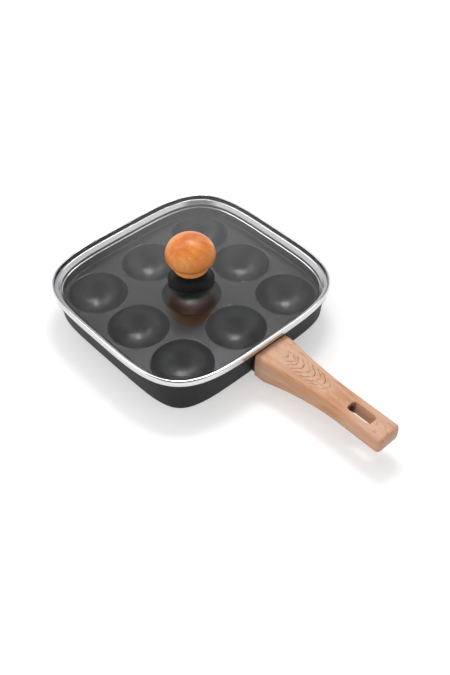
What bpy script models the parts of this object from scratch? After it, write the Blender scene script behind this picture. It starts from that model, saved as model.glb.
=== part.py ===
"""Square nine-cup paniyaram pan with a flat glass lid, a wooden knob and a wood-look handle.

Metres, +Z up. The origin is the middle of the pan's underside and the handle points along +X.
"""

import math

import bmesh
import bpy
from mathutils import Matrix, Vector

# Play between pieces that touch or seat on each other
GAP = 0.0003

# Cups
CUPS_ALONG_X = 3
CUPS_ALONG_Y = 3
CUP_RADIUS = 0.0280
CUP_WEB_X = 0.0050
CUP_WEB_Y = 0.0082
CUP_WALL = 0.0032
CUP_FLOOR = 0.0026
CUP_EDGE_RADIUS = 0.0012
EDGE_SHARE_OF_WEB = 0.45

# Plate that carries the cups, and the tray wall round it
PLATE_HEIGHT = 0.0214
PLATE_THICKNESS = 0.0030
SIDE_MARGIN_X = 0.0085
SIDE_MARGIN_Y = 0.0098
TRAY_DRAFT = 0.0034
TRAY_FOOT_RADIUS = 0.0018

# Outer wall and lip of the pan; a higher power gives the bowed square sharper corners
CORNER_POWER = 4.0
FOOT_CORNER_POWER = 5.1
LIP_HEIGHT = 0.0365
LIP_THICKNESS = 0.0022
LIP_EDGE_RADIUS = 0.0007
LIP_OVERHANG = 0.0035
LEDGE_WIDTH = 0.0050
WALL_DRAFT = 0.0065
BOTTOM_EDGE_RADIUS = 0.0040
FOOT_WIDTH = 0.0012
SKIRT_DRAFT = 0.0008

# Steel band of the lid
LID_OVERHANG = 0.0006
BAND_THICKNESS = 0.0006
BAND_CORNER_RADIUS = 0.0015
BAND_ROLL_WIDTH = 0.0020
BAND_ROLL_HEIGHT = 0.0015
FLANGE_WIDTH = 0.0024
FUNNEL_DROP = 0.0028
SKIRT_CLEARANCE = 0.0008
LID_SKIRT_DEPTH = 0.0072
SKIRT_BEAD_RADIUS = 0.0008

# Glass of the lid
GLASS_THICKNESS = 0.0040
GLASS_EDGE_BEVEL = 0.0009
GLASS_EDGE_BEVEL_WIDTH = 0.0014
GLASS_HOLE_RADIUS = 0.0040

# Screws are M5, with a plain shank in place of the thread
SCREW_RADIUS = 0.0024
SCREW_HEAD_RADIUS = 0.0044
SCREW_HEAD_HEIGHT = 0.0030
DRIVE_SLOT_WIDTH = 0.0012
DRIVE_SLOT_DEPTH = 0.0014
DRIVE_SHARE_OF_HEAD = 0.62
WASHER_THICKNESS = 0.0010
INSERT_WALL = 0.0016
INSERT_COLLAR = 0.0007

# Knob base
BASE_RADIUS = 0.0220
BASE_NECK_RADIUS = 0.0148
BASE_EDGE_HEIGHT = 0.0012
BASE_HEIGHT = 0.0134
BASE_NECK_LENGTH = 0.0040
SEAL_RADIUS = 0.0085
SEAL_THICKNESS = 0.0010
SEAL_RECESS = 0.0010
LOWER_WASHER_RADIUS = 0.0080

# Knob
KNOB_RADIUS = 0.0232
KNOB_UPPER_HEIGHT = 0.0192
KNOB_LOWER_HEIGHT = 0.0138
KNOB_FOOT_RADIUS = 0.0160
KNOB_FOOT_HEIGHT = 0.0018
KNOB_NECK_RADIUS = 0.0148
KNOB_INSERT_LENGTH = 0.0150

# Handle
HANDLE_LENGTH = 0.1350
HANDLE_TOP = 0.0335
FRONT_HALF_WIDTH = 0.0190
FRONT_BOTTOM = 0.0048
FRONT_EDGE = 0.0008
GRIP_HALF_WIDTH = 0.0126
GRIP_BOTTOM = 0.0177
COLLAR_LENGTH = 0.0090
WAIST_LENGTH = 0.0760
WAIST_POWER = 2.0
BELLY_START = 0.0120
BELLY_LENGTH = 0.0800
BELLY_POWER = 1.6
TOP_EDGE_RADIUS = 0.0026
FRONT_EDGE_ROUND = 0.0050
GRIP_EDGE_ROUND = 0.0028
SIDE_BULGE = 0.0006
TOP_CROWN = 0.0005
END_ROUND = 0.0035
ROUND_SHARE_OF_HEIGHT = 0.45

# Hang slot near the handle's end
SLOT_LENGTH = 0.0245
SLOT_WIDTH = 0.0104
SLOT_CORNER_RADIUS = 0.0028
SLOT_END_MARGIN = 0.0180
SLOT_CHAMFER = 0.0008
SLOT_FLARE = 0.0025

# Boss cast on the pan, its tongue inside the handle, and the screw that holds them together
BOSS_INSET = 0.0013
BOSS_STANDOFF = 0.0022
BOSS_ROOT = 0.0010
TONGUE_LENGTH = 0.0210
TONGUE_HALF_WIDTH = 0.0115
TONGUE_HALF_HEIGHT = 0.0058
TONGUE_EDGE_RADIUS = 0.0020
HANDLE_INSERT_LENGTH = 0.0130
SEAT_BEYOND_TONGUE = 0.0250
BORE_RADIUS = 0.0049

# Facets
OUTLINE_POINTS = 64
CUP_SEGMENTS = 28
CUP_RINGS = 5
SHELL_SEGMENTS = 20
SHELL_RINGS = 4
ROUND_SEGMENTS = 32
SMALL_SEGMENTS = 16
CORNER_STEPS = 3
GRIP_STATIONS = 9
END_STEPS = 4
SMOOTH_ANGLE = math.radians(34)

# Sizes that follow from the ones above
PITCH_X = 2 * CUP_RADIUS + CUP_WEB_X
PITCH_Y = 2 * CUP_RADIUS + CUP_WEB_Y
CUP_DEPTH = PLATE_HEIGHT - CUP_FLOOR
SPHERE_RADIUS = (CUP_RADIUS ** 2 + CUP_DEPTH ** 2) / (2 * CUP_DEPTH)
SPHERE_HEIGHT = CUP_FLOOR + SPHERE_RADIUS
LIP_INSET = LID_OVERHANG
WALL_INSET = LIP_INSET + LIP_OVERHANG
TRAY_TOP_INSET = LIP_INSET + LEDGE_WIDTH
TRAY_FOOT_INSET = TRAY_TOP_INSET + TRAY_DRAFT
HALF_X = (CUPS_ALONG_X - 1) / 2 * PITCH_X + CUP_RADIUS + SIDE_MARGIN_X + TRAY_FOOT_INSET
HALF_Y = (CUPS_ALONG_Y - 1) / 2 * PITCH_Y + CUP_RADIUS + SIDE_MARGIN_Y + TRAY_FOOT_INSET
LID_BOTTOM = LIP_HEIGHT + GAP
GLASS_BOTTOM = LID_BOTTOM + BAND_THICKNESS + GAP
GLASS_TOP = GLASS_BOTTOM + GLASS_THICKNESS
LID_TOP = GLASS_TOP + GAP + BAND_THICKNESS
KNOB_BASE_BOTTOM = GLASS_TOP + GAP
KNOB_BOTTOM = KNOB_BASE_BOTTOM + BASE_HEIGHT + GAP
SCREW_HOLE = SCREW_RADIUS + GAP
INSERT_RADIUS = SCREW_HOLE + INSERT_WALL
BOSS_FACE = HALF_X - WALL_INSET + BOSS_STANDOFF
HANDLE_FRONT = BOSS_FACE + GAP
SCREW_AXIS = (HANDLE_TOP + GRIP_BOTTOM) / 2
SCREW_SEAT = TONGUE_LENGTH + SEAT_BEYOND_TONGUE

# Turns a shape made about Z so that it lies along +X, or hangs upside down
ALONG_X = (0.0, math.pi / 2, 0.0)
UPSIDE_DOWN = (math.pi, 0.0, 0.0)


def clear_scene():
    for obj in list(bpy.data.objects):
        bpy.data.objects.remove(obj, do_unlink=True)


def material(name, colour, roughness, metallic=0.0, transmission=0.0):
    """A Principled material in one colour."""
    made = bpy.data.materials.new(name)
    made.use_nodes = True
    made.diffuse_color = (*colour, 1.0)
    shader = made.node_tree.nodes["Principled BSDF"]
    shader.inputs["Base Color"].default_value = (*colour, 1.0)
    shader.inputs["Roughness"].default_value = roughness
    shader.inputs["Metallic"].default_value = metallic
    shader.inputs["Transmission Weight"].default_value = transmission
    return made


def add_object(name, shape, finish, parent=None, location=(0.0, 0.0, 0.0), rotation=(0.0, 0.0, 0.0)):
    """Turns a bmesh into an object with smooth shading and its own material."""
    bmesh.ops.recalc_face_normals(shape, faces=shape.faces)
    mesh = bpy.data.meshes.new(name)
    shape.to_mesh(mesh)
    shape.free()
    mesh.shade_smooth()
    mesh.set_sharp_from_angle(angle=SMOOTH_ANGLE)
    if finish:
        mesh.materials.append(finish)
    obj = bpy.data.objects.new(name, mesh)
    bpy.context.scene.collection.objects.link(obj)
    obj.parent = parent
    obj.location = location
    obj.rotation_euler = rotation
    return obj


def add_empty(name, location):
    empty = bpy.data.objects.new(name, None)
    empty.empty_display_size = 0.02
    empty.location = location
    bpy.context.scene.collection.objects.link(empty)
    return empty


def add_cutter(name, shape, parent=None, location=(0.0, 0.0, 0.0), rotation=(0.0, 0.0, 0.0)):
    cutter = add_object(name, shape, None, parent, location, rotation)
    cutter.hide_render = True
    cutter.display_type = "WIRE"
    return cutter


def combine(obj, other, operation):
    change = obj.modifiers.new(f"{operation.lower()}_{other.name}", "BOOLEAN")
    change.operation = operation
    change.object = other


def add_ring(shape, points):
    return [shape.verts.new(point) for point in points]


def bridge(shape, first, second):
    """Faces between two rings of vertices; a ring of one vertex is a pole."""
    count = max(len(first), len(second))
    for i in range(count):
        j = (i + 1) % count
        if len(first) == 1:
            shape.faces.new((first[0], second[i], second[j]))
        elif len(second) == 1:
            shape.faces.new((first[i], first[j], second[0]))
        else:
            shape.faces.new((first[i], first[j], second[j], second[i]))


def loft(rings, closed=False):
    """A solid through rings of points, with flat ends or closed on itself."""
    shape = bmesh.new()
    made = [add_ring(shape, ring) for ring in rings]
    for first, second in zip(made, made[1:]):
        bridge(shape, first, second)
    if closed:
        bridge(shape, made[-1], made[0])
        return shape
    for end in (made[0], made[-1]):
        if len(end) > 1:
            shape.faces.new(end)
    return shape


def circle(radius, height, segments):
    if radius == 0:
        return [Vector((0.0, 0.0, height))]
    turns = [2 * math.pi * i / segments for i in range(segments)]
    return [Vector((radius * math.cos(t), radius * math.sin(t), height)) for t in turns]


def turned(profile, segments, hollow=False):
    """A solid turned about Z from (radius, height) points; hollow closes the profile on itself."""
    return loft([circle(r, h, segments) for r, h in profile], closed=hollow)


def arc(centre, radius_across, radius_up, start, end, steps):
    """Points of an elliptic arc, from start to end in degrees."""
    angles = [math.radians(start + (end - start) * i / steps) for i in range(steps + 1)]
    return [
        (centre[0] + radius_across * math.cos(a), centre[1] + radius_up * math.sin(a))
        for a in angles
    ]


def outline(inset, height, power=CORNER_POWER):
    """The pan's bowed square, this far inside the lid's outer edge."""
    points = []
    for i in range(OUTLINE_POINTS):
        turn = 2 * math.pi * i / OUTLINE_POINTS
        c, s = math.cos(turn), math.sin(turn)
        x = HALF_X * math.copysign(abs(c) ** (2 / power), c)
        y = HALF_Y * math.copysign(abs(s) ** (2 / power), s)
        slope_x = math.copysign(abs(x / HALF_X) ** (power - 1) / HALF_X, x)
        slope_y = math.copysign(abs(y / HALF_Y) ** (power - 1) / HALF_Y, y)
        normal = Vector((slope_x, slope_y)).normalized()
        points.append(Vector((x - inset * normal.x, y - inset * normal.y, height)))
    return points


def framed(profile, closed=False):
    """A solid that follows the outline, from (inset, height) points that may add a power."""
    return loft([outline(*point) for point in profile], closed)


def wall_inset(height):
    """The outer wall's inset, which grows downwards with its draft."""
    top = LIP_HEIGHT - LIP_THICKNESS
    share = (top - height) / (top - BOTTOM_EDGE_RADIUS)
    return WALL_INSET + WALL_DRAFT * min(max(share, 0.0), 1.0)


def tray_inset(height):
    """The tray wall's inset, which grows downwards with its draft."""
    top = LIP_HEIGHT - LIP_EDGE_RADIUS
    foot = PLATE_HEIGHT + TRAY_FOOT_RADIUS
    return TRAY_TOP_INSET + TRAY_DRAFT * (top - height) / (top - foot)


def squarer_below(points):
    """Adds to (inset, height) points of the wall the power that makes its corners squarer at the foot."""
    top = LIP_HEIGHT - LIP_THICKNESS
    change = FOOT_CORNER_POWER - CORNER_POWER
    return [(inset, height, CORNER_POWER + change * (top - height) / top) for inset, height in points]


def rounded_section(half, low, high, low_radius, high_radius, bulge=0.0, crown=0.0):
    """(y, z) points of a rounded rectangle, with slightly bowed sides and top."""
    middle = (low + high) / 2
    corners = (
        (half - low_radius, low + low_radius, low_radius, -90),
        (half - high_radius, high - high_radius, high_radius, 0),
        (-half + high_radius, high - high_radius, high_radius, 90),
        (-half + low_radius, low + low_radius, low_radius, 180),
    )
    points = []
    for y, z, radius, start in corners:
        points += arc((y, z), radius, radius, start, start + 90, CORNER_STEPS)
        if start == 0:
            points.append((0.0, high))
        elif start == -90:
            points.append((half, middle))
        elif start == 90:
            points.append((-half, middle))
    bowed = []
    for y, z in points:
        out = bulge * (1 - ((z - middle) / (high - middle)) ** 2)
        up = crown * (1 - (y / half) ** 2) if z > middle else 0.0
        bowed.append((y + math.copysign(out, y) if y else 0.0, z + up))
    return bowed


def section_at(x, points):
    return [Vector((x, y, z)) for y, z in points]


def cup_centres():
    for i in range(CUPS_ALONG_X):
        for j in range(CUPS_ALONG_Y):
            yield (
                (i - (CUPS_ALONG_X - 1) / 2) * PITCH_X,
                (j - (CUPS_ALONG_Y - 1) / 2) * PITCH_Y,
                f"{i + 1}{j + 1}",
            )


def cup_hollow():
    """The space inside a cup, with its rounded edge and a run past the plate's top."""
    edge = min(CUP_EDGE_RADIUS, EDGE_SHARE_OF_WEB * min(CUP_WEB_X, CUP_WEB_Y))
    rise = PLATE_HEIGHT - edge - SPHERE_HEIGHT
    reach = math.sqrt((SPHERE_RADIUS + edge) ** 2 - rise ** 2)
    tilt = math.degrees(math.atan2(rise, reach))
    sphere = arc((0.0, SPHERE_HEIGHT), SPHERE_RADIUS, SPHERE_RADIUS, -90, tilt, CUP_RINGS)
    round_edge = arc((reach, PLATE_HEIGHT - edge), edge, edge, 180 + tilt, 90, 2)
    profile = [(0.0, CUP_FLOOR)] + sphere[1:] + round_edge[1:]
    profile += [(reach, PLATE_HEIGHT + edge), (0.0, PLATE_HEIGHT + edge)]
    return turned(profile, CUP_SEGMENTS)


def cup_shell():
    """The cup's outside below the plate, cut flat where the pan stands on it."""
    radius = SPHERE_RADIUS + CUP_WALL
    inside = PLATE_HEIGHT - PLATE_THICKNESS / 2 - SPHERE_HEIGHT
    start = math.degrees(math.asin(-SPHERE_HEIGHT / radius))
    end = math.degrees(math.asin(inside / radius))
    side = arc((0.0, SPHERE_HEIGHT), radius, radius, start, end, SHELL_RINGS)
    profile = [(0.0, 0.0)] + side + [(0.0, SPHERE_HEIGHT + inside)]
    return turned(profile, SHELL_SEGMENTS)


def pan_casting():
    """Plate, tray wall, lip and skirt, open underneath."""
    plate_bottom = PLATE_HEIGHT - PLATE_THICKNESS
    lip_bottom = LIP_HEIGHT - LIP_THICKNESS
    foot = wall_inset(0.0) + BOTTOM_EDGE_RADIUS
    skirt = foot + FOOT_WIDTH
    edge = LIP_EDGE_RADIUS
    tray_foot = TRAY_FOOT_RADIUS
    wall = [(skirt + SKIRT_DRAFT, plate_bottom), (skirt, 0.0)]
    wall += arc((foot, BOTTOM_EDGE_RADIUS), -BOTTOM_EDGE_RADIUS, BOTTOM_EDGE_RADIUS, -90, 0, 3)
    profile = squarer_below(wall)
    profile += [(WALL_INSET, lip_bottom), (LIP_INSET + edge, lip_bottom)]
    profile += [(LIP_INSET, lip_bottom + edge)]
    profile += arc((LIP_INSET + edge, LIP_HEIGHT - edge), edge, edge, 180, 90, 2)
    profile += [(TRAY_TOP_INSET - edge, LIP_HEIGHT), (TRAY_TOP_INSET, LIP_HEIGHT - edge)]
    profile += arc((TRAY_FOOT_INSET + tray_foot, PLATE_HEIGHT + tray_foot), tray_foot, tray_foot, 180, 270, 3)
    return framed(profile)


def boss():
    """The block on the wall that the handle meets, its back edge sunk in the drafted wall."""
    half = FRONT_HALF_WIDTH - BOSS_INSET
    points = rounded_section(
        half, FRONT_BOTTOM + BOSS_INSET, HANDLE_TOP - BOSS_INSET, FRONT_EDGE_ROUND, TOP_EDGE_RADIUS
    )
    back = [Vector((HALF_X - wall_inset(z) - BOSS_ROOT, y, z)) for y, z in points]
    return loft([back, section_at(BOSS_FACE, points)])


def tongue():
    """The tongue that carries the handle, its end edges chamfered."""
    end = BOSS_FACE + TONGUE_LENGTH
    chamfer = TONGUE_EDGE_RADIUS / 2
    rings = []
    for x, inset in ((BOSS_FACE - BOSS_ROOT, 0.0), (end - chamfer, 0.0), (end, chamfer)):
        points = rounded_section(
            TONGUE_HALF_WIDTH - inset,
            SCREW_AXIS - TONGUE_HALF_HEIGHT + inset,
            SCREW_AXIS + TONGUE_HALF_HEIGHT - inset,
            TONGUE_EDGE_RADIUS,
            TONGUE_EDGE_RADIUS,
        )
        rings.append(section_at(x, points))
    return loft(rings)


def rod(radius, start, end, segments=SMALL_SEGMENTS):
    """A cylinder about Z, for bores and cutters."""
    return turned([(0.0, start), (radius, start), (radius, end), (0.0, end)], segments)


def make_pan(finish):
    pan = add_object("pan_body", pan_casting(), finish)
    combine(pan, add_cutter("boss_block", boss()), "UNION")
    combine(pan, add_cutter("boss_tongue", tongue()), "UNION")
    for x, y, label in cup_centres():
        place = (x, y, 0.0)
        combine(pan, add_cutter(f"cup_shell_{label}", cup_shell(), location=place), "UNION")
        combine(pan, add_cutter(f"cup_hollow_{label}", cup_hollow(), location=place), "DIFFERENCE")
    depth = HANDLE_INSERT_LENGTH + GAP
    bore = rod(INSERT_RADIUS + GAP, TONGUE_LENGTH - depth, TONGUE_LENGTH + depth)
    place = (BOSS_FACE, 0.0, SCREW_AXIS)
    combine(pan, add_cutter("insert_bore", bore, None, place, ALONG_X), "DIFFERENCE")


def handle_half_width(x):
    """Even along the collar, then narrowing to the grip."""
    left = 1 - min(max((x - COLLAR_LENGTH) / WAIST_LENGTH, 0.0), 1.0)
    return GRIP_HALF_WIDTH + (FRONT_HALF_WIDTH - GRIP_HALF_WIDTH) * left ** WAIST_POWER


def belly(x, front, grip):
    """A size that sweeps from its value at the front to its value along the grip."""
    left = 1 - min(max((x - BELLY_START) / BELLY_LENGTH, 0.0), 1.0)
    return grip + (front - grip) * left ** BELLY_POWER


def handle_stations():
    """(distance from the front, how far the section is drawn in there)."""
    stations = [(0.0, FRONT_EDGE), (FRONT_EDGE, 0.0), (COLLAR_LENGTH, 0.0)]
    last = max(WAIST_LENGTH + COLLAR_LENGTH, BELLY_START + BELLY_LENGTH)
    for i in range(GRIP_STATIONS):
        share = i / (GRIP_STATIONS - 1)
        stations.append((BELLY_START + (last - BELLY_START) * share, 0.0))
    for i in range(END_STEPS + 1):
        turn = math.pi / 2 * i / END_STEPS
        x = HANDLE_LENGTH - END_ROUND * (1 - math.sin(turn))
        stations.append((x, END_ROUND * (1 - math.cos(turn))))
    return stations


def handle_body():
    """The handle's outside: a straight collar, a hollow waist, an even grip and a round end."""
    rings = []
    for x, inset in handle_stations():
        high = HANDLE_TOP - inset
        low = belly(x, FRONT_BOTTOM, GRIP_BOTTOM) + inset
        half = handle_half_width(x) - inset
        room = ROUND_SHARE_OF_HEIGHT * (high - low)
        below = min(belly(x, FRONT_EDGE_ROUND, GRIP_EDGE_ROUND), room)
        above = min(TOP_EDGE_RADIUS, room)
        points = rounded_section(half, low, high, below, above, SIDE_BULGE, TOP_CROWN)
        rings.append([Vector((x, y, z - SCREW_AXIS)) for y, z in points])
    return loft(rings)


def slot_ring(grow, height):
    """The slot's outline at one height, grown by a chamfer."""
    middle = HANDLE_LENGTH - SLOT_END_MARGIN - SLOT_LENGTH / 2
    across = rounded_section(
        SLOT_WIDTH / 2 + grow,
        -SLOT_LENGTH / 2 - grow,
        SLOT_LENGTH / 2 + grow,
        SLOT_CORNER_RADIUS,
        SLOT_CORNER_RADIUS,
    )
    return [Vector((middle + along, y, height)) for y, along in across]


def hang_slot():
    """A slot through the handle, its edge chamfered above and flared below."""
    top = HANDLE_TOP + TOP_CROWN - SCREW_AXIS
    bottom = GRIP_BOTTOM - SCREW_AXIS
    past = SLOT_CHAMFER
    return loft([
        slot_ring(SLOT_FLARE + past, bottom - past),
        slot_ring(0.0, bottom + SLOT_FLARE),
        slot_ring(0.0, top - SLOT_CHAMFER),
        slot_ring(SLOT_CHAMFER + past, top + past),
    ])


def socket():
    """The handle's pocket for the tongue."""
    half = TONGUE_HALF_WIDTH + GAP
    high = TONGUE_HALF_HEIGHT + GAP
    points = rounded_section(half, -high, high, TONGUE_EDGE_RADIUS, TONGUE_EDGE_RADIUS)
    return loft([section_at(-FRONT_EDGE, points), section_at(TONGUE_LENGTH, points)])


def screw_bore():
    """A stepped bore, from the slot to a seat for the washer and on to the pocket."""
    slot_wall = HANDLE_LENGTH - SLOT_END_MARGIN - SLOT_LENGTH / 2
    profile = [
        (0.0, TONGUE_LENGTH / 2),
        (SCREW_HOLE, TONGUE_LENGTH / 2),
        (SCREW_HOLE, SCREW_SEAT),
        (BORE_RADIUS, SCREW_SEAT),
        (BORE_RADIUS, slot_wall),
        (0.0, slot_wall),
    ]
    return turned(profile, SMALL_SEGMENTS)


def make_handle(finish, mount):
    handle = add_object("handle", handle_body(), finish, mount)
    combine(handle, add_cutter("handle_slot", hang_slot(), mount), "DIFFERENCE")
    combine(handle, add_cutter("handle_socket", socket(), mount), "DIFFERENCE")
    combine(handle, add_cutter("handle_bore", screw_bore(), mount, rotation=ALONG_X), "DIFFERENCE")


def screw(length):
    """A pan-head screw about Z: its shank ends at 0 and its head starts at length."""
    point = SCREW_RADIUS / 3
    dome = SCREW_HEAD_HEIGHT / 2
    profile = [(0.0, 0.0), (SCREW_RADIUS - point, 0.0), (SCREW_RADIUS, point)]
    profile += [(SCREW_RADIUS, length), (SCREW_HEAD_RADIUS, length)]
    profile += arc((SCREW_HEAD_RADIUS - dome, length + dome), dome, dome, 0, 90, 3)
    profile += [(0.0, length + SCREW_HEAD_HEIGHT)]
    return turned(profile, SMALL_SEGMENTS)


def drive_cross(length):
    """The cross recess in a screw's head."""
    reach = SCREW_HEAD_RADIUS * DRIVE_SHARE_OF_HEAD
    half = DRIVE_SLOT_WIDTH / 2
    arm = ((reach, -half), (reach, half), (half, half))
    points = []
    for quarter in range(4):
        turn = Matrix.Rotation(quarter * math.pi / 2, 2)
        points += [turn @ Vector(corner) for corner in arm]
    top = length + SCREW_HEAD_HEIGHT
    heights = (top - DRIVE_SLOT_DEPTH, top + DRIVE_SLOT_DEPTH)
    return loft([[Vector((x, y, z)) for x, y in points] for z in heights])


def make_screw(name, length, finish, parent, location, rotation):
    made = add_object(name, screw(length), finish, parent, location, rotation)
    combine(made, add_cutter(f"{name}_drive", drive_cross(length), made), "DIFFERENCE")


def disc_ring(inner, outer, thickness):
    """A flat ring standing on Z = 0, such as a washer."""
    profile = [(inner, 0.0), (outer, 0.0), (outer, thickness), (inner, thickness)]
    return turned(profile, SMALL_SEGMENTS, hollow=True)


def insert(length):
    """A threaded bush with waists that hold it in its bore."""
    waist = INSERT_RADIUS - INSERT_COLLAR
    third = length / 3
    profile = [
        (SCREW_HOLE, 0.0),
        (INSERT_RADIUS, 0.0),
        (INSERT_RADIUS, third),
        (waist, third + INSERT_COLLAR),
        (waist, 2 * third - INSERT_COLLAR),
        (INSERT_RADIUS, 2 * third),
        (INSERT_RADIUS, length),
        (SCREW_HOLE, length),
    ]
    return turned(profile, SMALL_SEGMENTS, hollow=True)


def make_handle_fixings(steel, mount):
    """The insert in the tongue, and the screw and washer at the bottom of the handle's bore."""
    insert_start = TONGUE_LENGTH - GAP - HANDLE_INSERT_LENGTH
    bush = insert(HANDLE_INSERT_LENGTH)
    add_object("boss_insert", bush, steel, mount, (insert_start, 0.0, 0.0), ALONG_X)
    washer_start = SCREW_SEAT + GAP
    washer = disc_ring(SCREW_HOLE, SCREW_HEAD_RADIUS, WASHER_THICKNESS)
    add_object("handle_washer", washer, steel, mount, (washer_start, 0.0, 0.0), ALONG_X)
    shank_start = insert_start + GAP
    length = washer_start + WASHER_THICKNESS + GAP - shank_start
    make_screw("handle_screw", length, steel, mount, (shank_start, 0.0, 0.0), ALONG_X)


def lid_band():
    """The rolled steel band: outer wall, crowned top flange, bottom flange, funnel and beaded skirt."""
    t = BAND_THICKNESS
    r = BAND_CORNER_RADIUS
    low = LID_BOTTOM
    skirt_end = low - LID_SKIRT_DEPTH
    bead = SKIRT_BEAD_RADIUS
    skirt = tray_inset(skirt_end) + SKIRT_CLEARANCE
    inner = skirt + t
    funnel = TRAY_TOP_INSET - LIP_EDGE_RADIUS
    crown = (BAND_ROLL_WIDTH, LID_TOP - BAND_ROLL_HEIGHT)
    profile = [(r / 2, low), (0.0, low + r / 2)]
    profile += arc(crown, BAND_ROLL_WIDTH, BAND_ROLL_HEIGHT, 180, 90, 4)
    profile += [(FLANGE_WIDTH - t / 2, LID_TOP), (FLANGE_WIDTH, LID_TOP - t / 2)]
    profile += [(FLANGE_WIDTH - t / 2, LID_TOP - t)]
    profile += arc(crown, BAND_ROLL_WIDTH - t, BAND_ROLL_HEIGHT - t, 90, 180, 4)
    profile += [(t, low + r), (r, low + t), (funnel + t / 2, low + t)]
    profile += [(inner, low + t / 2 - FUNNEL_DROP), (inner, skirt_end + 2 * bead)]
    profile += arc((inner, skirt_end + bead), bead, bead, 60, -60, 3)
    profile += [(inner, skirt_end), (skirt, skirt_end), (skirt, low - FUNNEL_DROP), (funnel, low)]
    return framed(profile, closed=True)


def glass_pane():
    edge = BAND_THICKNESS + GAP
    bevel = GLASS_EDGE_BEVEL
    flat = edge + GLASS_EDGE_BEVEL_WIDTH
    return framed([
        (edge + bevel, GLASS_BOTTOM),
        (edge, GLASS_BOTTOM + bevel),
        (edge, GLASS_TOP - bevel),
        (flat, GLASS_TOP),
    ])


def make_lid(steel, glass, lid):
    """The band and the pane; both are drawn in the pan's frame, so they hang below the lid's empty."""
    down = (0.0, 0.0, -LID_BOTTOM)
    add_object("lid_rim", lid_band(), steel, lid, down)
    pane = add_object("lid_glass", glass_pane(), glass, lid, down)
    hole = rod(GLASS_HOLE_RADIUS, GLASS_BOTTOM - GAP, GLASS_TOP + GAP, ROUND_SEGMENTS)
    combine(pane, add_cutter("glass_hole", hole, lid, down), "DIFFERENCE")


def knob_base():
    """A bell-shaped base: a thin edge, a sweeping flare and a neck, with a recess for the seal."""
    flare = BASE_RADIUS - BASE_NECK_RADIUS
    sweep = BASE_HEIGHT - BASE_EDGE_HEIGHT - BASE_NECK_LENGTH
    recess = SEAL_RADIUS + GAP
    profile = [(SCREW_HOLE, SEAL_RECESS), (recess, SEAL_RECESS), (recess, 0.0)]
    profile += [(BASE_RADIUS, 0.0)]
    profile += arc((BASE_RADIUS, BASE_EDGE_HEIGHT + sweep), flare, sweep, 270, 180, 6)
    profile += [(BASE_NECK_RADIUS, BASE_HEIGHT), (SCREW_HOLE, BASE_HEIGHT)]
    return turned(profile, ROUND_SEGMENTS, hollow=True)


def knob():
    """A turned ball, flatter below, on a small foot, with a bore for its insert."""
    middle = KNOB_FOOT_HEIGHT + KNOB_LOWER_HEIGHT
    start = -math.degrees(math.acos(KNOB_NECK_RADIUS / KNOB_RADIUS))
    bore = INSERT_RADIUS + GAP
    depth = KNOB_INSERT_LENGTH + 2 * GAP
    edge = KNOB_FOOT_HEIGHT / 3
    profile = [(0.0, depth + bore / 2), (bore, depth), (bore, 0.0)]
    profile += [(KNOB_FOOT_RADIUS - edge, 0.0), (KNOB_FOOT_RADIUS, edge)]
    profile += [(KNOB_FOOT_RADIUS, 2 * edge)]
    profile += arc((0.0, middle), KNOB_RADIUS, KNOB_LOWER_HEIGHT, start, 0, 4)
    profile += arc((0.0, middle), KNOB_RADIUS, KNOB_UPPER_HEIGHT, 0, 90, 7)[1:-1]
    profile += [(0.0, middle + KNOB_UPPER_HEIGHT)]
    return turned(profile, ROUND_SEGMENTS)


def make_knob(wood, phenolic, brass, rubber, steel, lid):
    """Everything on the lid's middle, from the screw under the glass to the knob."""
    base_bottom = KNOB_BASE_BOTTOM - LID_BOTTOM
    knob_bottom = KNOB_BOTTOM - LID_BOTTOM
    glass_bottom = GLASS_BOTTOM - LID_BOTTOM
    add_object("knob_base", knob_base(), phenolic, lid, (0.0, 0.0, base_bottom))
    add_object("knob", knob(), wood, lid, (0.0, 0.0, knob_bottom))
    add_object("knob_insert", insert(KNOB_INSERT_LENGTH), brass, lid, (0.0, 0.0, knob_bottom + GAP))
    upper_seal = disc_ring(SCREW_HOLE, SEAL_RADIUS, SEAL_RECESS - GAP)
    add_object("knob_seal_upper", upper_seal, rubber, lid, (0.0, 0.0, base_bottom))
    lower_seal_bottom = glass_bottom - GAP - SEAL_THICKNESS
    lower_seal = disc_ring(SCREW_HOLE, SEAL_RADIUS, SEAL_THICKNESS)
    add_object("knob_seal_lower", lower_seal, rubber, lid, (0.0, 0.0, lower_seal_bottom))
    washer_bottom = lower_seal_bottom - GAP - WASHER_THICKNESS
    washer = disc_ring(SCREW_HOLE, LOWER_WASHER_RADIUS, WASHER_THICKNESS)
    add_object("knob_washer", washer, steel, lid, (0.0, 0.0, washer_bottom))
    head = washer_bottom - GAP
    tip = knob_bottom + KNOB_INSERT_LENGTH
    make_screw("knob_screw", tip - head, steel, lid, (0.0, 0.0, tip), UPSIDE_DOWN)


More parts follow.
